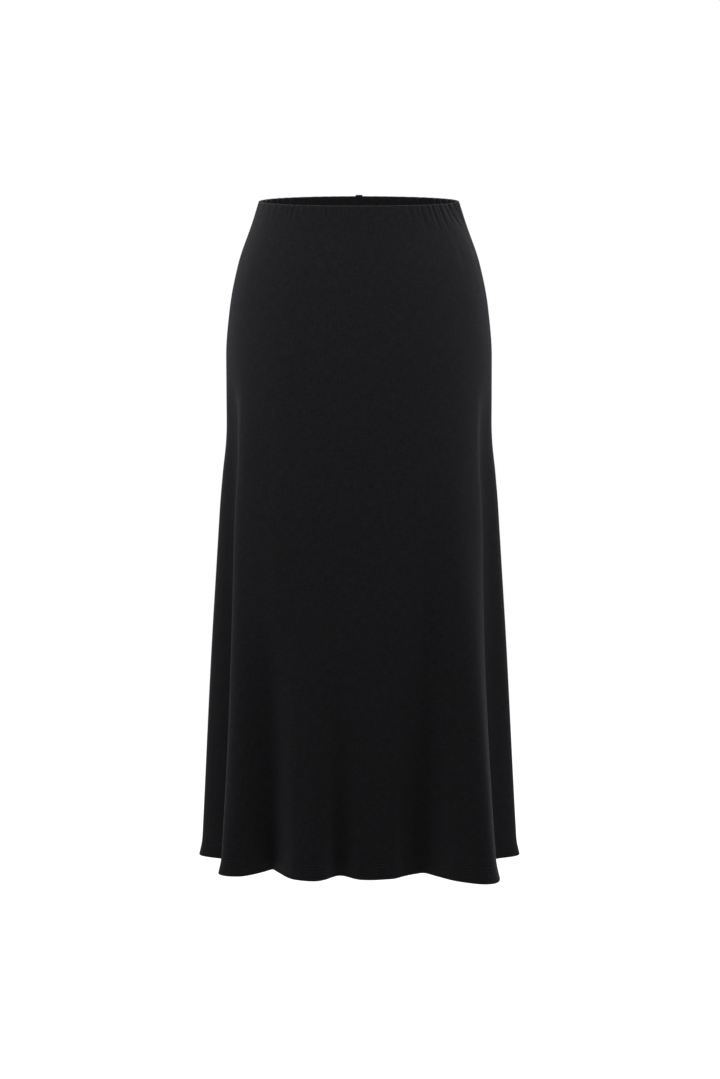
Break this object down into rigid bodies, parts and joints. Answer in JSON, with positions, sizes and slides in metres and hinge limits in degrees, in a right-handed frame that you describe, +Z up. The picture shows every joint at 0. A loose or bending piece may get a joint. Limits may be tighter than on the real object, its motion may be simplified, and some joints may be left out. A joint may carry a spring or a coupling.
{
  "type": "a-line skirt",
  "caption": "Long A-line skirt in plain stretch jersey with a gathered elastic waist, hollow and open at waist and hem, hanging in soft folds as it is worn.",
  "frame": {"origin": "middle of the waist opening, level with the top edge of the waist casing", "axes": "+Z up out of the waist, -Y out of the skirt's front, +X to the right of a viewer who faces the front"},
  "size_m": [0.4236, 0.2897, 0.8704],
  "materials": {
    "jersey": "matt black jersey with a faint sheen",
    "jersey_inside": "matt black jersey, wrong side"
  },
  "bodies": {
    "root": {"front_panel": "jersey", "back_panel": "jersey", "front_casing": "jersey_inside", "back_casing": "jersey_inside", "front_hem_turn_up": "jersey_inside", "back_hem_turn_up": "jersey_inside", "casing_join": "jersey_inside"}
  },
  "joints": []
}
